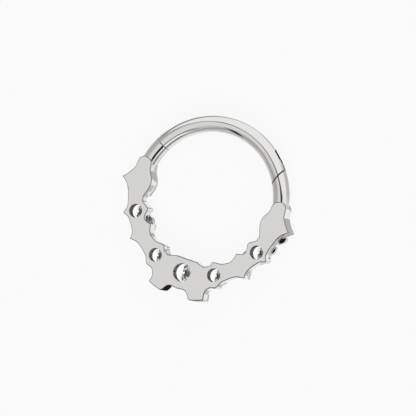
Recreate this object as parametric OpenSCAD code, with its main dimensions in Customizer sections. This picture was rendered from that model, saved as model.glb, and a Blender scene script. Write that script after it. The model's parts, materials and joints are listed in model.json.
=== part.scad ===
// Hinged clicker ring: a round wire hoop closed by a flat-backed cast garland
// that carries five round stones. It lies on its decorated front, with the flat back
// facing up, and the origin is under the middle of its box.

/* [Hoop] */
// Thickness of the round wire
wire_d = 1.2; // [1.1:0.05:1.3]
// Clear diameter inside the hoop
hoop_clear_d = 9.5; // [9.2:0.1:10]
// Angle from the top of the hoop to the plain seam of the catch
catch_seam_angle = 60.9; // [58:0.1:64]

/* [Garland] */
// Whole thickness, from the front relief to the flat back
garland_t = 1.4; // [1.35:0.05:1.6]
// Thickness of the plain web between the raised ornaments
web_t = 0.9; // [0.8:0.05:1]
// Width of the rim round each hollowed end leaf
leaf_rim = 0.22; // [0.15:0.01:0.3]
// Depth of the hollow in each end leaf
leaf_hollow = 0.16; // [0.05:0.01:0.25]

/* [Stones] */
// Diameter of the centre stone
centre_stone_d = 1.85; // [1.7:0.05:1.95]
// Diameter of each small stone
small_stone_d = 1.4; // [1.25:0.05:1.45]
// Diameter of the open back behind the centre stone
centre_hole_d = 1.34; // [1.2:0.02:1.4]
// Diameter of the open back behind a small stone
small_hole_d = 1.0; // [0.9:0.02:1.04]
// Thickness of a claw
claw_d = 0.36; // [0.3:0.02:0.4]
// Room left round each stone in its seat
stone_gap = 0.025; // [0.02:0.005:0.04]

/* [Hinge] */
// Diameter of the hinge pin
pin_d = 0.3; // [0.26:0.02:0.34]
// Running room round the pin
pin_gap = 0.02; // [0.015:0.005:0.04]
// Width of the slot sawn in the arch
slot_w = 0.42; // [0.36:0.02:0.46]
// Room on each side of the tongue in its slot
tongue_gap = 0.03; // [0.02:0.005:0.04]
// Room between the two parts of the hoop at each seam
seam_gap = 0.04; // [0.03:0.005:0.05]

/* [Hidden] */
$fn = 64;
curve_steps = 6; // straight steps in each curved stretch of an outline

// The hoop
wire_r = wire_d / 2;
hoop_r = hoop_clear_d / 2 + wire_r;
wire_below_back = 0.02; // the wire's crest lies this far under the flat back
wire_z = garland_t - wire_r - wire_below_back;
plan = hoop_r / 5.35; // the outlines below are drawn for a hoop of 5.35 mm radius
stub_root_angle = 3; // the stubs run into the end leaves up to this angle above the X axis

// Heights of the garland, up from the front
web_z = garland_t - web_t;
girdle_z = 0.36; // crown side of every girdle
petal_z = 0.1;
collar_w = 0.13;
collar_overlap = 0.05;

// Each row is a corner of the right half: x, y, and how far the stretch to the next corner bows
// outwards. The outer side runs from the end over the wire down to the bottom of the hoop.
OUTER = [
    [5.34, 1.36, 0.06],
    [5.72, 1.24, 0.03],
    [5.88, 1.02, 0],
    [5.95, 0.42, -0.05],
    [6.66, -0.54, -0.06],
    [5.98, -1.20, -0.03],
    [5.59, -2.38, -0.02],
    [5.62, -2.74, 0],
    [5.72, -2.92, 0.05],
    [5.56, -3.08, -0.01],
    [5.26, -3.20, -0.05],
    [4.62, -4.10, -0.04],
    [4.60, -4.64, -0.03],
    [3.92, -4.74, -0.03],
    [3.10, -5.38, -0.02],
    [2.90, -5.76, 0.03],
    [2.72, -5.98, -0.01],
    [2.36, -6.09, -0.05],
    [2.10, -6.56, -0.02],
    [2.17, -7.02, 0.03],
    [2.05, -7.12, 0.02],
    [1.20, -7.40, 0.03],
    [0.96, -7.24, -0.01],
    [0.78, -6.98, -0.03],
    [0.50, -6.85, -0.01],
    [0, -6.90, 0]];
// The inner side runs back up from the bottom of the hoop to the end.
INNER = [
    [0, -4.67, 0],
    [0.85, -4.65, -0.02],
    [1.46, -4.82, 0.03],
    [1.74, -4.66, -0.02],
    [1.90, -4.34, 0.03],
    [2.06, -4.24, 0],
    [2.56, -4.20, -0.03],
    [3.18, -3.86, -0.04],
    [3.42, -3.14, -0.02],
    [3.84, -3.04, -0.05],
    [4.06, -2.72, 0],
    [3.99, -2.28, 0.04],
    [4.12, -2.06, 0],
    [4.58, -1.76, 0.03],
    [4.63, -1.52, -0.02],
    [4.50, -1.05, 0.02],
    [4.38, -0.52, 0.05],
    [4.52, 0.10, -0.02],
    [4.77, 0.56, 0],
    [4.82, 0.92, 0.02],
    [5.00, 1.24, 0.02]];

// The small leaves of the front that reach past the edge of the web: the middle, x and y, then
// the length, the width and the turn of each one of the right half
SIDE_LEAVES = [
    [3.92, -2.88, 0.92, 0.42, 37],
    [6.08, -1.25, 0.90, 0.42, 51],
    [5.71, -2.12, 0.80, 0.24, 73]];

// A stone and its seat: angle from the bottom of the hoop, distance from the middle of the hoop,
// diameter, diameter of the open back, and the turn of its four claws
CENTRE = [0, 5.69, centre_stone_d, centre_hole_d, 45];
LOWER = [24.5, 5.64, small_stone_d, small_hole_d, 0];
UPPER = [61.8, 5.49, small_stone_d, small_hole_d, 0];

// Proportions of a round brilliant, against the radius of its girdle
table_share = 0.56;
crown_share = 0.30;
girdle_share = 0.04;
pavilion_share = 0.86;
star_share = 0.76;
half_share = 0.24;

// The hinge: the seam is a slanted flat cut, and the pin stands near the outside of the wire
seam_in = plan * [4.10, 2.39];
seam_out = plan * [4.72, 3.62];
seam_slant = atan2(seam_out.y - seam_in.y, seam_out.x - seam_in.x);
pin_from_top = 48;
pin_at = (hoop_r + 0.27) * [sin(pin_from_top), cos(pin_from_top)];
tongue_r = 0.30;
tongue_in = hoop_r - 0.03;
tongue_out = hoop_r + 0.57;
saw_r = 3.66;
saw_at = (hoop_r + 3.55) * [cos(36), sin(36)];
pin_bottom = wire_z - 0.50;
pin_top = wire_z + 0.38;

// The catch: a low dome on the free end of the arch sits in a dimple of the left stub
dome_r = 0.30;
dome_proud = 0.10;

big = 20;
eps = 0.01;

// Points from p to q along a shallow curve that bows to the left of its run
function bowed(p, q, bow) =
    let (run = q - p, side = [-run.y, run.x] / norm(run))
    [for (i = [0 : bow == 0 ? 0 : curve_steps - 1])
        let (t = i / curve_steps) p + run * t + side * 4 * bow * t * (1 - t)];
function stretch(rows, last) = [for (i = [0 : len(rows) - 1])
    let (a = rows[i], b = i < len(rows) - 1 ? rows[i + 1] : last)
    each bowed([a.x, a.y], [b.x, b.y], a[2])];
half_outline = plan * stretch(concat(OUTER, INNER), OUTER[0]);
mid_y = (hoop_r + wire_r + min([for (p = half_outline) p.y])) / 2;

function place(stone) = plan * stone[1] * [sin(stone[0]), -cos(stone[0])];

// The drawing above has the middle of the hoop at the origin, and this moves it into place
module in_place() {
    translate([0, -mid_y, 0]) children();
}

module both_sides() {
    for (side = [0, 1]) mirror([side, 0, 0]) children();
}

module slab(z_from, z_to) {
    translate([0, 0, z_from]) linear_extrude(height = z_to - z_from) children();
}

module half_shape() {
    polygon(half_outline);
}

// A stretch of the round wire, between two angles above the X axis
module wire(from, to) {
    translate([0, 0, wire_z]) rotate([0, 0, from])
        rotate_extrude(angle = to - from) translate([hoop_r, 0]) circle(r = wire_r);
}

// Half space on the arch's side (way 1) or the garland's side (way -1) of the hinge seam
module beyond_seam(way) {
    translate([seam_in.x, seam_in.y, -big / 2]) rotate([0, 0, seam_slant])
        translate([-big / 2, way > 0 ? -seam_gap / 2 : seam_gap / 2 - big, 0])
            cube([big, big, big]);
}

// The zone of the outline that belongs to the end leaf, and its hollow
module leaf_shape() {
    intersection() {
        half_shape();
        translate(plan * [4, -1.32]) square(plan * [3, 3]);
    }
}

module end_leaf() {
    difference() {
        slab(0, garland_t) leaf_shape();
        difference() {
            slab(-1, leaf_hollow) offset(delta = -leaf_rim) leaf_shape();
            leaf_vein();
        }
    }
}

// The vein runs from the spike to the end of the leaf
module leaf_vein() {
    vein_w = 0.16;
    translate(plan * [5.9, -0.45]) rotate([0, 0, 126])
        translate([-1, -vein_w / 2, -1]) cube([4, vein_w, 3]);
}

// A pointed leaf laid across the web, from the inner tip to the outer corner
module cross_leaf() {
    lens_r = 1.45;
    lens_off = 1.05;
    intersection() {
        slab(petal_z, web_z + eps) half_shape();
        translate(plan * [4.0, -3.88]) rotate([0, 0, -52]) intersection() {
            translate([0, lens_off, 0]) cylinder(r = lens_r, h = 2);
            translate([0, -lens_off, 0]) cylinder(r = lens_r, h = 2);
        }
    }
}

// The square petal at the bottom, beside the notch
module petal() {
    slab(petal_z, web_z + eps) intersection() {
        half_shape();
        translate(plan * [0.86, -8]) square(plan * [2, 1.42]);
    }
}

// A small pointed leaf, from two crossing arcs, with the round of the upper stone kept clear
module side_leaf(row) {
    length = plan * row[2];
    width = plan * row[3];
    arc_r = (pow(length, 2) + pow(width, 2)) / (4 * width);
    difference() {
        translate(concat(plan * [row.x, row.y], petal_z)) rotate([0, 0, row[4]]) intersection() {
            translate([0, arc_r - width / 2, 0]) cylinder(r = arc_r, h = web_z - petal_z + eps);
            translate([0, width / 2 - arc_r, 0]) cylinder(r = arc_r, h = web_z - petal_z + eps);
        }
        at_stone(UPPER) cylinder(d = UPPER[2] + collar_w, h = web_z);
    }
}

module at_stone(stone) {
    translate(concat(place(stone), 0)) rotate([0, 0, stone[0] - 90]) children();
}

module collar(stone) {
    at_stone(stone) translate([0, 0, girdle_z])
        cylinder(d = stone[2] + 2 * collar_w, h = web_z - girdle_z + collar_overlap);
}

module claws(stone) {
    reach = stone[2] / 2 + 0.04;
    at_stone(stone) for (turn = [0 : 90 : 270]) rotate([0, 0, turn + stone[4]])
        translate([reach, 0, claw_d / 2]) {
            sphere(d = claw_d);
            cylinder(d = claw_d, h = web_z);
        }
}

// The space that a stone takes, with room round it, and the open back behind it
module seat(stone) {
    r = stone[2] / 2;
    room = r + stone_gap;
    crown_h = r * crown_share;
    girdle_h = r * girdle_share + stone_gap;
    at_stone(stone) {
        translate([0, 0, -1]) cylinder(d = stone[3], h = garland_t + 2);
        translate([0, 0, -1]) cylinder(r = r * table_share + stone_gap, h = 1 + girdle_z);
        translate([0, 0, girdle_z - crown_h])
            cylinder(r1 = r * table_share + stone_gap, r2 = room, h = crown_h);
        translate([0, 0, girdle_z]) cylinder(r = room, h = girdle_h);
        translate([0, 0, girdle_z + girdle_h])
            cylinder(r1 = room, r2 = eps, h = r * pavilion_share);
    }
}

module tongue() {
    t = slot_w - 2 * tongue_gap;
    from = 90 - pin_from_top - 12;
    translate([0, 0, wire_z - t / 2]) {
        rotate([0, 0, from]) rotate_extrude(angle = 12)
            translate([tongue_in, 0]) square([tongue_out - tongue_in, t]);
        translate(concat(pin_at, 0)) cylinder(r = tongue_r, h = t);
    }
}

module catch_ball(r) {
    inside = dome_r - dome_proud;
    rotate([0, 0, 90 + catch_seam_angle]) translate([hoop_r, -inside - seam_gap / 2, wire_z])
        sphere(r = r);
}

module pin_space(room) {
    translate([pin_at.x, pin_at.y, room > 0 ? -1 : pin_bottom])
        cylinder(d = pin_d + 2 * room, h = (room > 0 ? pin_top + tongue_gap + 1 : pin_top - pin_bottom));
}

module garland() {
    gap_angle = seam_gap / 2 / hoop_r * 180 / PI;
    color("gainsboro") difference() {
        union() {
            both_sides() {
                slab(web_z, garland_t) half_shape();
                end_leaf();
                cross_leaf();
                petal();
                for (row = SIDE_LEAVES) side_leaf(row);
                for (stone = [LOWER, UPPER]) {
                    collar(stone);
                    claws(stone);
                }
            }
            collar(CENTRE);
            claws(CENTRE);
            difference() {
                wire(stub_root_angle, 40);
                beyond_seam(1);
            }
            wire(90 + catch_seam_angle + gap_angle, 180 - stub_root_angle);
            tongue();
        }
        both_sides() for (stone = [LOWER, UPPER]) seat(stone);
        seat(CENTRE);
        pin_space(pin_gap);
        catch_ball(dome_r + tongue_gap);
    }
}

module hinged_arch() {
    gap_angle = seam_gap / 2 / hoop_r * 180 / PI;
    color("gainsboro") difference() {
        union() {
            wire(25, 90 + catch_seam_angle - gap_angle);
            catch_ball(dome_r);
        }
        beyond_seam(-1);
        translate([saw_at.x, saw_at.y, wire_z - slot_w / 2]) cylinder(r = saw_r, h = slot_w);
        translate([pin_at.x, pin_at.y, wire_z - slot_w / 2])
            cylinder(r = tongue_r + tongue_gap, h = slot_w);
        pin_space(pin_gap);
    }
}

module hinge_pin() {
    color("silver") pin_space(0);
}

// A round brilliant, table down, with its girdle in the seat
module brilliant(stone) {
    r = stone[2] / 2;
    eighths = [0 : 45 : 315];
    sixteenths = [0 : 22.5 : 337.5];
    crown_h = r * crown_share;
    girdle_h = r * girdle_share;
    depth = r * pavilion_share;
    star_z = crown_h * (1 - star_share * cos(22.5)) / (1 - table_share);
    half_z = depth * (1 - half_share * cos(22.5));
    points = concat(
        [for (a = eighths) [r * table_share * cos(a), r * table_share * sin(a), -crown_h]],
        [for (a = eighths) [r * star_share * cos(a + 22.5), r * star_share * sin(a + 22.5), -star_z]],
        [for (a = sixteenths) [r * cos(a), r * sin(a), 0]],
        [for (a = sixteenths) [r * cos(a), r * sin(a), girdle_h]],
        [for (a = eighths) [r * half_share * cos(a + 22.5), r * half_share * sin(a + 22.5),
            girdle_h + half_z]],
        [[0, 0, girdle_h + depth]]);
    color("lightcyan") at_stone(stone) translate([0, 0, girdle_z + stone_gap / 2])
        hull() polyhedron(points, [[for (i = [0 : len(points) - 1]) i]]);
}

module centre_stone() brilliant(CENTRE);
module left_upper_stone() mirror([1, 0, 0]) brilliant(UPPER);
module right_upper_stone() brilliant(UPPER);
module left_lower_stone() mirror([1, 0, 0]) brilliant(LOWER);
module right_lower_stone() brilliant(LOWER);

in_place() garland();
in_place() hinged_arch();
in_place() hinge_pin();
in_place() centre_stone();
in_place() left_upper_stone();
in_place() right_upper_stone();
in_place() left_lower_stone();
in_place() right_lower_stone();
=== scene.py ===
import json
import math

import bmesh
import bpy
from mathutils import Matrix, Vector


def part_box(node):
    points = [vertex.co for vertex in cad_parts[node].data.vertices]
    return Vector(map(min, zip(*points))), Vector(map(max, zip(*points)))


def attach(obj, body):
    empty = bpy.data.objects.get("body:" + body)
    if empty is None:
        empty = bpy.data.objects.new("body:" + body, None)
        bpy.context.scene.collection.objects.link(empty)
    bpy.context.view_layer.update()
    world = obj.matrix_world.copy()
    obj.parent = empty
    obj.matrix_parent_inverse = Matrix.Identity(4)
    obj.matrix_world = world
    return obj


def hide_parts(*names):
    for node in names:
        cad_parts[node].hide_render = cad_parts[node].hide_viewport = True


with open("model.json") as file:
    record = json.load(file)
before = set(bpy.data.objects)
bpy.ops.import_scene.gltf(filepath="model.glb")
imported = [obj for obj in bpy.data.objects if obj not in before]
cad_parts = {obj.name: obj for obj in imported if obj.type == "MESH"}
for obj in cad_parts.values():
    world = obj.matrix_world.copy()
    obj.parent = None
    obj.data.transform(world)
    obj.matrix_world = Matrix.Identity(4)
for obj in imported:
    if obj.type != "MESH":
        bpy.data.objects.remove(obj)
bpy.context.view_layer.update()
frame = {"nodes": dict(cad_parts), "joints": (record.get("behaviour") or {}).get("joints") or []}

# Camera. It looks at the ring's flat back from the photograph's side, a little from the hinge's
# end, so the inner walls show on the left of the hoop and the outer ones on the right.
MM = 0.001
hinge_at = Vector(frame["joints"][0]["pos_m"])
hinge_reach = 5.62 * MM
hinge_angle = math.radians(42)
back_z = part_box("garland")[1].z
hoop_centre = Vector((hinge_at.x - hinge_reach * math.cos(hinge_angle),
                      hinge_at.y - hinge_reach * math.sin(hinge_angle), 0))
camera_distance = 245.4 * MM
camera_turns = (5.1, 18.2, 19.6)
aim_right = 0.057 * MM
aim_up = -0.780 * MM
camera = bpy.data.objects.new("camera", bpy.data.cameras.new("camera"))
bpy.context.scene.collection.objects.link(camera)
bpy.context.scene.camera = camera
camera.rotation_euler = [math.radians(degrees) for degrees in camera_turns]
right, up, towards = camera.rotation_euler.to_matrix().transposed()
camera.location = hoop_centre + Vector((0, 0, back_z))
camera.location += camera_distance * towards + aim_right * right + aim_up * up
camera.data.sensor_width = 36
camera.data.lens = 296.7
camera.data.clip_start = 10 * MM


# Floor. A pale light table: it glows evenly to the eye and more strongly through the stones, and
# takes a faint shadow. It is clear from beneath, so that the ring's front shows from there.
def link_up(tree, value, socket):
    if isinstance(value, bpy.types.NodeSocket):
        tree.links.new(value, socket)
    else:
        socket.default_value = value


def add_node(tree, kind, inputs=(), **settings):
    node = tree.nodes.new("ShaderNode" + kind)
    for name, value in settings.items():
        setattr(node, name, value)
    for socket, value in dict(inputs).items():
        link_up(tree, value, node.inputs[socket])
    return node


def arithmetic(tree, operation, first, second=0.0):
    return add_node(tree, "Math", {0: first, 1: second}, operation=operation).outputs[0]


def grey(tone):
    return (tone, tone, tone, 1)


def add_object(name, bm):
    mesh = bpy.data.meshes.new(name)
    bm.to_mesh(mesh)
    bm.free()
    obj = bpy.data.objects.new(name, mesh)
    bpy.context.scene.collection.objects.link(obj)
    return obj


def new_material(name):
    material = bpy.data.materials.new(name)
    material.use_nodes = True
    material.node_tree.nodes.clear()
    return material, material.node_tree


def finish_material(tree, shader):
    add_node(tree, "OutputMaterial", {"Surface": shader})


floor_half = 1.5
floor_matt = 0.85
floor_white = 0.96
floor_through_stones = 1.35
shadow_share = 0.05
floor_bm = bmesh.new()
bmesh.ops.create_grid(floor_bm, x_segments=1, y_segments=1, size=floor_half)
floor = add_object("floor", floor_bm)
floor.visible_glossy = False
table_top, tree = new_material("light_table")
rays = add_node(tree, "LightPath").outputs
matt = add_node(tree, "BsdfDiffuse", {"Color": grey(floor_matt)})
seen_glow = add_node(tree, "Emission", {"Color": grey(floor_white)})
strong_glow = add_node(tree, "Emission", {"Color": grey(floor_through_stones)})
clear = add_node(tree, "BsdfTransparent")
glow_share = arithmetic(tree, "MULTIPLY", rays["Is Camera Ray"], 1 - shadow_share)
top = add_node(tree, "MixShader", {0: glow_share, 1: matt.outputs[0], 2: seen_glow.outputs[0]})
top = add_node(tree, "MixShader", {
    0: rays["Is Transmission Ray"], 1: top.outputs[0], 2: strong_glow.outputs[0]})
beneath = add_node(tree, "NewGeometry").outputs["Backfacing"]
both = add_node(tree, "MixShader", {0: beneath, 1: top.outputs[0], 2: clear.outputs[0]})
finish_material(tree, both.outputs[0])
floor.data.materials.append(table_top)

# Studio. A soft white tent all round, with grey cards, a bright window and narrow dark gaps
# between its panels, which the polished wire mirrors as fine lines and dashes.
bpy.context.scene.view_settings.view_transform = "Standard"
tent = bpy.data.worlds.new("studio_tent")
bpy.context.scene.world = tent
tent.use_nodes = True
tree = tent.node_tree
tree.nodes.clear()
direction = add_node(tree, "TexCoord").outputs["Generated"]


def towards_axis(x, y, z):
    axis = Vector((x, y, z)).normalized()
    nearness = add_node(tree, "VectorMath", {0: direction, 1: axis}, operation="DOT_PRODUCT")
    return nearness.outputs["Value"]


def rise(tree, value, start, end, low=0.0, high=1.0):
    numbers = {"Value": value, "From Min": start, "From Max": end, "To Min": low, "To Max": high}
    return add_node(tree, "MapRange", numbers, interpolation_type="SMOOTHSTEP").outputs["Result"]


def mixed(tree, mask, below, above):
    return add_node(tree, "Mix", {"Factor": mask, "A": below, "B": above}).outputs["Result"]


def both_of(first, second):
    return arithmetic(tree, "MULTIPLY", first, second)


def between(value, low, high, soft):
    past_low = rise(tree, value, low - soft, low + soft)
    short_of_high = rise(tree, value, high + soft, high - soft)
    return both_of(past_low, short_of_high)


def stripe(value, middle, half_width, core):
    away = arithmetic(tree, "ABSOLUTE", arithmetic(tree, "SUBTRACT", value, middle))
    return rise(tree, away, half_width, core)


# The turn is 0 degrees at the front and 90 at the right, the lift is 90 overhead
across = towards_axis(1, 0, 0)
behind = towards_axis(0, 1, 0)
height = towards_axis(0, 0, 1)
turn = arithmetic(tree, "ARCTAN2", across, arithmetic(tree, "MULTIPLY", behind, -1))
turn = arithmetic(tree, "DEGREES", turn)
lift = arithmetic(tree, "DEGREES", arithmetic(tree, "ARCSINE", height))
tent_front = 0.715
tent_back = 0.85
tone = mixed(tree, rise(tree, behind, 0.16, 0.34), tent_front, tent_back)

# Each card has its tone, then the start, end and soft rim of its turn, and the same of its lift
cards = {
    "table all round": (0.88, (-200, 200, 1), (-100, -30, 26)),
    "front card": (0.52, (-75, 18, 8), (-30, 52, 12)),
    "left card": (0.44, (-115, -70, 2), (-26, 60, 12)),
    "window": (0.92, (24, 64, 4), (19, 38, 4)),
    "right card": (0.50, (108, 145, 10), (-66, -2, 4)),
    "outer card": (0.50, (155, 200, 8), (-58, -32, 8)),
    "black strip": (0.10, (26, 80, 4), (2, 15, 3)),
    "card under the front": (0.52, (30, 80, 10), (-84, -58, 6))}
for card_tone, turns, lifts in cards.values():
    tone = mixed(tree, both_of(between(turn, *turns), between(lift, *lifts)), tone, card_tone)

# Each round card has its tone, its middle, and the cosines at which its rim starts and ends
round_cards = {
    "card beneath, to the back": (0.46, (0.06, 0.25, -0.966), 0.980, 0.990),
    "card beneath, to the left": (0.42, (-0.18, -0.02, -0.984), 0.970, 0.986)}
for card_tone, middle, rim_start, rim_end in round_cards.values():
    tone = mixed(tree, rise(tree, towards_axis(*middle), rim_start, rim_end), tone, card_tone)

# The slanting gap climbs from the table behind to the left, and darkens on its way
slant = arithmetic(tree, "ADD", arithmetic(tree, "MULTIPLY", turn, 0.95), 110)
slanting_gap = both_of(stripe(lift, slant, 20, 6), between(turn, -200, -112, 6))
slanting_tone = rise(tree, turn, -165, -128, 0.42, 0.15)

# The front gap climbs from the right to the left, and pales on its way
front_gap = both_of(stripe(lift, rise(tree, turn, 30, -22, -1, 26), 14, 5), between(turn, -72, 74, 5))
front_tone = rise(tree, turn, 34, 10, 0.14, 0.33)

# The roof gap crosses overhead, bends backwards on the left and is black on the right
roof_gap = stripe(behind, rise(tree, across, -0.20, -0.42, 0.185, 0.32), 0.095, 0.05)
roof_gap = both_of(both_of(roof_gap, rise(tree, height, 0.4, 0.6)), rise(tree, across, 0.535, 0.48))
roof_tone = rise(tree, across, -0.36, -0.42, 0.10, 0.36)
roof_tone = both_of(roof_tone, rise(tree, across, 0.28, 0.14, 0.3, 1))

# The thin gap, the black card and the short gap run along great circles, each given by its pole
thin_gap = stripe(towards_axis(0.681, -0.395, -0.617), 0, 0.13, 0.06)
thin_gap = both_of(thin_gap, between(turn, 8, 60, 6))
black_card = both_of(stripe(towards_axis(0.812, -0.096, -0.5755), 0, 0.29, 0.21),
                     rise(tree, towards_axis(0.579, 0.804, 0.132), 0, 0.012))
black_card = both_of(black_card, both_of(rise(tree, behind, 0.25, -0.1), rise(tree, height, 0.2, 0.3)))
short_gap = stripe(towards_axis(0.635, -0.590, -0.4985), 0, 0.20, 0.13)
short_gap = both_of(short_gap, between(turn, -30.5, -22, 2))
for gap, gap_tone in ((slanting_gap, slanting_tone), (front_gap, front_tone), (roof_gap, roof_tone),
                      (thin_gap, 0.12), (black_card, 0.012), (short_gap, 0.0)):
    tone = mixed(tree, gap, tone, gap_tone)
studio = add_node(tree, "Background", {"Color": tone})
plain = add_node(tree, "Background", {"Color": grey(floor_white)})
rays = add_node(tree, "LightPath").outputs
seen = add_node(tree, "MixShader", {
    0: rays["Is Camera Ray"], 1: studio.outputs[0], 2: plain.outputs[0]})
add_node(tree, "OutputWorld", {"Surface": seen.outputs[0]})
key = bpy.data.objects.new("key", bpy.data.lights.new("key", "SUN"))
bpy.context.scene.collection.objects.link(key)
key.data.energy = 2.0
key.data.angle = math.radians(25)
key.rotation_euler = (math.radians(50), 0, math.radians(20))
key.visible_glossy = False
key.visible_transmission = False

# Polished white gold, of which the whole ring is made. It is cast, filed, and then buffed to a mirror,
# which leaves faint hairlines and a slightly uneven gloss. Bores keep the drill's rougher gloss and
# broken edges the file's; their grey and dark grey, and the black of hollows, slots and notches, are
# painted shade.
hairline_turn = 0.6
hairline_scale = (1500, 25000, 15000)
cloud_scale = 900.0
cloud_low = 0.35
cloud_high = 0.65
petal_edges_dark = -6.0 * MM
petal_edges_pale = -4.8 * MM
buffing = bpy.data.node_groups.new("buffing", "ShaderNodeTree")
for name, default in (("Gloss low", 0.05), ("Gloss high", 0.12)):
    given_socket = buffing.interface.new_socket(name, in_out="INPUT", socket_type="NodeSocketFloat")
    given_socket.default_value = default
for name in ("Roughness", "Height"):
    buffing.interface.new_socket(name, in_out="OUTPUT", socket_type="NodeSocketFloat")
inside = add_node(buffing, "TexCoord").outputs["Object"]
given = buffing.nodes.new("NodeGroupInput").outputs
stretched = add_node(buffing, "Mapping", {
    "Vector": inside, "Rotation": (0, 0, hairline_turn), "Scale": hairline_scale})
hairlines = add_node(buffing, "TexNoise", {"Vector": stretched.outputs[0], "Scale": 1.0, "Detail": 3.0})
clouds = add_node(buffing, "TexNoise", {"Vector": inside, "Scale": cloud_scale, "Detail": 4.0})
gloss = rise(buffing, clouds.outputs["Fac"], cloud_low, cloud_high,
             given["Gloss low"], given["Gloss high"])
result = buffing.nodes.new("NodeGroupOutput")
link_up(buffing, gloss, result.inputs["Roughness"])
link_up(buffing, hairlines.outputs["Fac"], result.inputs["Height"])


# The bottom share is the part of its colour that the metal keeps round the bottom petals, where the
# painted shade of the broken edges is deeper
def white_gold(name, colour, gloss_low, gloss_high, hairline_depth, bottom_shade_share=1.0, metallic=1.0):
    material, tree = new_material(name)
    buffed = add_node(tree, "Group", node_tree=buffing)
    buffed.inputs["Gloss low"].default_value = gloss_low
    buffed.inputs["Gloss high"].default_value = gloss_high
    bump = add_node(tree, "Bump", {
        "Height": buffed.outputs["Height"], "Distance": hairline_depth * MM, "Strength": 1.0})
    if bottom_shade_share < 1:
        place = add_node(tree, "TexCoord").outputs["Object"]
        upwards = add_node(tree, "SeparateXYZ", {"Vector": place}).outputs["Y"]
        share = rise(tree, upwards, petal_edges_dark, petal_edges_pale, bottom_shade_share, 1.0)
        darkened = add_node(tree, "VectorMath", {"Vector": colour, "Scale": share}, operation="SCALE")
        tint = darkened.outputs[0]
    else:
        tint = (*colour, 1)
    surface = add_node(tree, "BsdfPrincipled", {
        "Base Color": tint, "Metallic": metallic, "Specular IOR Level": 0.5 * metallic,
        "Roughness": buffed.outputs["Roughness"], "Normal": bump.outputs[0]})
    finish_material(tree, surface.outputs[0])
    return material


# Each metal has its colour, its finest and coarsest gloss, and the depth of its hairlines
metals = [
    white_gold("mirror_white_gold", (0.92, 0.912, 0.893), 0.02, 0.05, 0.0001),
    # grey colour painted as shade in bores, over a real rougher drilled gloss
    white_gold("drilled_white_gold_painted_shade", (0.38, 0.375, 0.365), 0.35, 0.50, 0.0006),
    # dark grey painted as shade on broken edges and wire ends, darker still round the bottom petals
    white_gold("filed_white_gold_painted_shade", (0.27, 0.267, 0.261), 0.12, 0.22, 0.0003, bottom_shade_share=0.35),
    # black painted as shade in hollows, slots and notches
    white_gold("painted_shade_black_white_gold", (0.015, 0.015, 0.0145), 0.55, 0.70, 0.0010, metallic=0.0),
    white_gold("satin_white_gold", (0.97, 0.965, 0.95), 0.45, 0.55, 0.0003)]
MIRROR, DRILLED_AND_SHADED, FILED_AND_SHADED, PAINTED_SHADE_BLACK, SATIN = range(5)

# Hinged arch. A length of round white-gold wire bent to the hoop, cut off square at the catch and
# slanting at the hinge, where a saw has slotted it from the outside for the tongue.
wire_radius = 0.5999 * MM
hoop_radius = 5.35 * MM
wire_sides = 64
wire_z = hinge_at.z
square_gap = 0.04 * MM
slanting_half_gap = 0.05 * MM
catch_angle = math.radians(150.9)
seam_inner = (4.198, 2.340)
seam_outer = (4.738, 3.611)
seam_point = hoop_centre + Vector((*seam_inner, 0)) * MM
seam_direction = math.atan2(seam_outer[1] - seam_inner[1], seam_outer[0] - seam_inner[0])
slot_width = 0.42 * MM
crease_angle = math.radians(48)
sharp_angle = math.radians(35)


def around_hoop(angle, reach, z=wire_z):
    return hoop_centre + Vector((reach * math.cos(angle), reach * math.sin(angle), z))


def close_ends(bm):
    # Wire ends and cut faces are painted dark grey, as painted shade in the seams
    ends = bmesh.ops.holes_fill(bm, edges=[edge for edge in bm.edges if edge.is_boundary])["faces"]
    for face in ends:
        face.material_index = FILED_AND_SHADED
    bmesh.ops.recalc_face_normals(bm, faces=bm.faces)


def each_once(items):
    return list(dict.fromkeys(items))


def spin_section(bm, section, start, end, steps):
    edges = each_once(edge for vert in section for edge in vert.link_edges)
    bmesh.ops.rotate(bm, cent=hoop_centre, matrix=Matrix.Rotation(start, 3, "Z"), verts=section)
    bmesh.ops.spin(bm, geom=section + edges, cent=hoop_centre, axis=(0, 0, 1),
                   angle=end - start, steps=steps)
    close_ends(bm)


def bent_wire(bm, start, end):
    upright = Matrix.Translation(around_hoop(0, hoop_radius)) @ Matrix.Rotation(math.pi / 2, 4, "X")
    section = bmesh.ops.create_circle(bm, segments=wire_sides, radius=wire_radius, matrix=upright)
    spin_section(bm, section["verts"], start, end, max(2, round(math.degrees(end - start))))


def cut_at_seam(bm, side):
    across_seam = Vector((-math.sin(seam_direction), math.cos(seam_direction), 0)) * side
    bmesh.ops.bisect_plane(bm, geom=bm.verts[:] + bm.edges[:] + bm.faces[:], clear_inner=True,
                           plane_co=seam_point + across_seam * slanting_half_gap,
                           plane_no=across_seam)
    close_ends(bm)


def break_edges(bm, chosen, width, segments, surface):
    edges = [edge for edge in bm.edges if edge.is_manifold and edge.is_convex
             and edge.calc_face_angle() > sharp_angle and chosen(edge)]
    rims = bmesh.ops.bevel(bm, geom=edges, offset=width, offset_type="OFFSET", segments=segments,
                           profile=0.5, affect="EDGES", material=-1, clamp_overlap=False,
                           loop_slide=True)["faces"]
    for face in rims:
        face.material_index = surface


def metal_object(name, bm):
    obj = add_object(name, bm)
    for metal in metals:
        obj.data.materials.append(metal)
    return obj


def carve(obj, cutter_bm, surface, operation="DIFFERENCE"):
    for face in cutter_bm.faces:
        face.material_index = surface
    cutter = metal_object("cutter", cutter_bm)
    boolean = obj.modifiers.new("carve", "BOOLEAN")
    boolean.operation = operation
    boolean.object = cutter
    boolean.solver = "EXACT"
    carved = obj.evaluated_get(bpy.context.evaluated_depsgraph_get())
    carved_mesh = bpy.data.meshes.new_from_object(carved)
    obj.modifiers.clear()
    obj.data = carved_mesh
    bpy.data.objects.remove(cutter)


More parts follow.
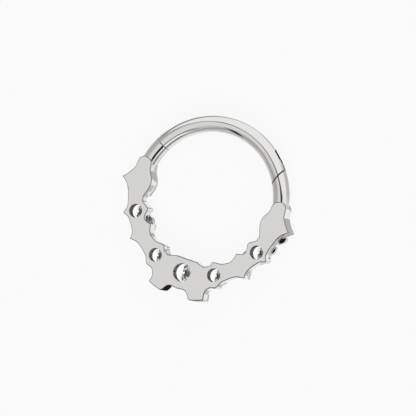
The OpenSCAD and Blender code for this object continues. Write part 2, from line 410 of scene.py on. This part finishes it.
def drum(centre, radius, low, high, sides=64):
    bm = bmesh.new()
    place = Matrix.Translation((centre.x, centre.y, (low + high) / 2))
    bmesh.ops.create_cone(bm, cap_ends=True, segments=sides, radius1=radius, radius2=radius,
                          depth=high - low, matrix=place)
    return bm


def ball(centre, radius):
    bm = bmesh.new()
    bmesh.ops.create_uvsphere(bm, u_segments=48, v_segments=24, radius=radius,
                              matrix=Matrix.Translation(centre))
    return bm


def at_catch_end(edge):
    return edge.verts[0].co.x < 0


def soften(obj):
    bm = bmesh.new()
    bm.from_mesh(obj.data)
    for face in bm.faces:
        face.smooth = True
    for edge in bm.edges:
        kinds = [face.material_index for face in edge.link_faces]
        edge.smooth = edge.calc_face_angle(0) < crease_angle and kinds.count(FILED_AND_SHADED) != 1
    bm.to_mesh(obj.data)
    bm.free()
    weighted = obj.modifiers.new("weighted_normals", "WEIGHTED_NORMAL")
    weighted.keep_sharp = True


# The slanting seam lies between these two angles of the hoop
seam_from = math.radians(25)
seam_to = math.radians(40)
gap_turn = square_gap / 2 / hoop_radius
square_end_break = 0.012 * MM
dome_radius = 0.30 * MM
dome_proud = 0.10 * MM
catch_out = Vector((-math.sin(catch_angle), math.cos(catch_angle), 0))
dome_centre = around_hoop(catch_angle, hoop_radius)
dome_centre -= catch_out * (dome_radius - dome_proud + square_gap / 2)
pin_room = 0.17 * MM
pin_bore_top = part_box("hinge_pin")[1].z + 0.015 * MM
tongue_room = 0.33 * MM
slot_low = wire_z - slot_width / 2
slot_high = wire_z + slot_width / 2
saw_centre = around_hoop(math.radians(36), 8.90 * MM)
saw_radius = 3.66 * MM
mouth_centre = around_hoop(math.radians(48.9), 6.80 * MM)
mouth_radius = 0.98 * MM
mouth_half = 0.27 * MM
arch_bm = bmesh.new()
bent_wire(arch_bm, seam_from, catch_angle - gap_turn)
cut_at_seam(arch_bm, 1)
break_edges(arch_bm, at_catch_end, square_end_break, 2, MIRROR)
arch = metal_object("arch_wire", arch_bm)
# The saw slot, the tongue's room and the slot's mouth are painted black inside as shade
carve(arch, drum(saw_centre, saw_radius, slot_low, slot_high, 128), PAINTED_SHADE_BLACK)
carve(arch, drum(hinge_at, tongue_room, slot_low, slot_high), PAINTED_SHADE_BLACK)
carve(arch, drum(mouth_centre, mouth_radius, wire_z - mouth_half, wire_z + mouth_half, 96), PAINTED_SHADE_BLACK)
# The pin's bore is painted grey as shade
carve(arch, drum(hinge_at, pin_room, 0, pin_bore_top), DRILLED_AND_SHADED)
carve(arch, ball(dome_centre, dome_radius), MIRROR, "UNION")
soften(arch)
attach(arch, "arch")
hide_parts("hinged_arch")

# Hinge pin. A short pin of white gold, ground round and pressed in from the front, through the
# arch's slotted end and the tongue in its slot.
pin = frame["nodes"]["hinge_pin"]
pin.data.materials.clear()
pin.data.materials.append(white_gold("ground_white_gold", (0.80, 0.79, 0.76), 0.15, 0.25, 0.0004))

# Garland. One casting of white gold with a flat back and five seats, painted black as shade in the
# hollows of its side leaves and in the notches of its lower edge. Two short wire stubs are soldered to
# its ends, the right one with the hinge's tongue, and a fine file has broken its edges.
stones = {name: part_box(name) for name in frame["nodes"] if name.endswith("_stone")}
merge_distance = 0.0002 * MM
cut_tolerance = 1e-8
flat_angle = math.radians(0.3)
stub_root = math.radians(14.6)
stub_overlap = math.radians(0.4)
stubs_above = 0.5 * MM
garland_bm = bmesh.new()
garland_bm.from_mesh(frame["nodes"]["garland"].data)
bmesh.ops.remove_doubles(garland_bm, verts=garland_bm.verts, dist=merge_distance)

# The plain stubs are cut off at their roots, and finer ones are bent further down
for side in (1, -1):
    near = [face for face in garland_bm.faces
            if all((vert.co - hoop_centre).x * side > 0 and (vert.co - hoop_centre).y > stubs_above
                   for vert in face.verts)]
    parts = near + each_once(edge for face in near for edge in face.edges)
    parts += each_once(vert for face in near for vert in face.verts)
    outward = Vector((-side * math.sin(stub_root), math.cos(stub_root), 0))
    bmesh.ops.bisect_plane(garland_bm, geom=parts, plane_co=hoop_centre, plane_no=outward)
    beyond = [vert for vert in garland_bm.verts
              if (vert.co - hoop_centre).x * side > 0
              and (vert.co - hoop_centre).dot(outward) > cut_tolerance]
    bmesh.ops.delete(garland_bm, geom=beyond, context="VERTS")
close_ends(garland_bm)
bmesh.ops.dissolve_limit(garland_bm, angle_limit=flat_angle,
                         verts=garland_bm.verts, edges=garland_bm.edges)
bore_inside_stone = 0.19 * MM
rim_inside_stone = 0.15 * MM
collar_width = 0.42 * MM
front_depth = 0.2 * MM
back_depth = 0.001 * MM
bores_above = 0.55 * MM
back_break = 0.055 * MM
front_break = 0.03 * MM

# The notches painted black as shade and the satin walls, each by a place from the hoop's centre and a
# reach
notches_in_painted_shade = (0.86, -7.14, 0.46)
satin_walls = ((6.06, -1.14, 0.40), (5.62, -2.05, 0.36))

# Each hollow has its place from the hoop's centre, its length and width in millimetres, its turn
# in degrees, and its surface, black or grey as painted shade
hollow_floor = 0.42
hollow_mouth = 0.52
leaf_hollows = ((6.125, -1.235, 0.68, 0.30, 52, PAINTED_SHADE_BLACK), (5.755, -2.11, 0.54, 0.13, 73, PAINTED_SHADE_BLACK),
                (3.91, -2.84, 0.72, 0.27, 35, DRILLED_AND_SHADED), (4.03, -2.755, 0.44, 0.24, 35, PAINTED_SHADE_BLACK))


def by_seat(point, room):
    for low, high in stones.values():
        middle = (low + high) / 2
        if (point - middle).xy.length < (high.x - low.x) / 2 + room:
            return True
    return False


def round_the_back(edge):
    return all(vert.co.z > back_z - back_depth and not by_seat(vert.co, -rim_inside_stone)
               for vert in edge.verts)


def round_the_front(edge):
    return all(vert.co.z < front_depth and not by_seat(vert.co, collar_width) for vert in edge.verts)


def close_to(spot, point):
    x, y, reach = spot
    place = (point - hoop_centre) / MM
    return math.hypot(abs(place.x) - x, place.y - y) < reach


def lens(x, y, length, width, turned, steps=12):
    bm = bmesh.new()
    arc = [(length * (k / steps - 0.5), 0.5 * width * (1 - (2 * k / steps - 1) ** 2))
           for k in range(steps)]
    spin = Matrix.Rotation(math.radians(turned), 3, "Z")
    middle = hoop_centre + Vector((x, y, hollow_floor)) * MM
    outline = [bm.verts.new(middle + spin @ Vector((u, v, 0)) * MM)
               for u, v in arc + [(-u, -v) for u, v in arc]]
    top = bmesh.ops.extrude_face_region(bm, geom=[bm.faces.new(outline)])["geom"]
    top_verts = [item for item in top if isinstance(item, bmesh.types.BMVert)]
    bmesh.ops.translate(bm, vec=(0, 0, (hollow_mouth - hollow_floor) * MM), verts=top_verts)
    bmesh.ops.recalc_face_normals(bm, faces=bm.faces)
    return bm


# The broken back edges are painted dark grey as shade, which draws a dark outline; the front ones stay
# mirror
break_edges(garland_bm, round_the_back, back_break, 1, FILED_AND_SHADED)
break_edges(garland_bm, round_the_front, front_break, 2, MIRROR)
for face in garland_bm.faces:
    middle = face.calc_center_median()
    if abs(face.normal.z) > 0.5:
        continue
    # Bore walls are painted grey as shade
    if middle.z > bores_above and by_seat(middle, -bore_inside_stone):
        face.material_index = DRILLED_AND_SHADED
    # Notch walls are painted black as shade
    if close_to(notches_in_painted_shade, middle):
        face.material_index = PAINTED_SHADE_BLACK
    if any(close_to(wall, middle) for wall in satin_walls):
        face.material_index = SATIN
garland = metal_object("garland_casting", garland_bm)
for side in (1, -1):
    for x, y, length, width, turned, surface in leaf_hollows:
        carve(garland, lens(side * x, y, length, width, side * turned), surface)
tongue_half = slot_width / 2 - 0.015 * MM
tongue_low = wire_z - tongue_half
tongue_high = wire_z + tongue_half
tongue_inner = 5.32 * MM
tongue_outer = 5.92 * MM
tongue_root = math.radians(30)
tongue_eye = 0.30 * MM
dimple_room = 0.03 * MM
stub_bm = bmesh.new()
bent_wire(stub_bm, stub_root - stub_overlap, seam_to)
cut_at_seam(stub_bm, -1)
right_stub = metal_object("right_stub", stub_bm)
tongue_bm = bmesh.new()
corners = [tongue_bm.verts.new(around_hoop(0, reach, z))
           for reach, z in ((tongue_inner, tongue_low), (tongue_outer, tongue_low),
                            (tongue_outer, tongue_high), (tongue_inner, tongue_high))]
for corner, following in zip(corners, corners[1:] + corners[:1]):
    tongue_bm.edges.new((corner, following))
spin_section(tongue_bm, corners, tongue_root, hinge_angle, 6)
# The tongue and its eye are painted grey, as painted shade inside the slot
carve(right_stub, tongue_bm, DRILLED_AND_SHADED, "UNION")
carve(right_stub, drum(hinge_at, tongue_eye, tongue_low, tongue_high), DRILLED_AND_SHADED, "UNION")
carve(right_stub, drum(hinge_at, pin_room, 0, pin_bore_top), DRILLED_AND_SHADED)
stub_bm = bmesh.new()
bent_wire(stub_bm, catch_angle + gap_turn, math.pi - stub_root + stub_overlap)
break_edges(stub_bm, lambda edge: True, square_end_break, 2, MIRROR)
left_stub = metal_object("left_stub", stub_bm)
# The dimple that takes the catch's dome is painted grey as shade
carve(left_stub, ball(dome_centre, dome_radius + dimple_room), DRILLED_AND_SHADED)
whole = bmesh.new()
for part in (garland, right_stub, left_stub):
    whole.from_mesh(part.data)
whole.to_mesh(garland.data)
whole.free()
for stub in (right_stub, left_stub):
    bpy.data.objects.remove(stub)
soften(garland)
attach(garland, "garland")
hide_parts("garland")

# Stones. Five round brilliants of clear cubic zirconia, cut with a table and facets all round.
# They are seated table down over open backs, and claws on the front hold them.
stone_clearness = 0.99
stone_index = 2.33
brilliant, tree = new_material("clear_brilliant")
cut_glass = add_node(tree, "BsdfPrincipled", {
    "Base Color": grey(stone_clearness), "Roughness": 0.0, "IOR": stone_index,
    "Transmission Weight": 1.0})
finish_material(tree, cut_glass.outputs[0])
for name in stones:
    frame["nodes"][name].data.materials.clear()
    frame["nodes"][name].data.materials.append(brilliant)
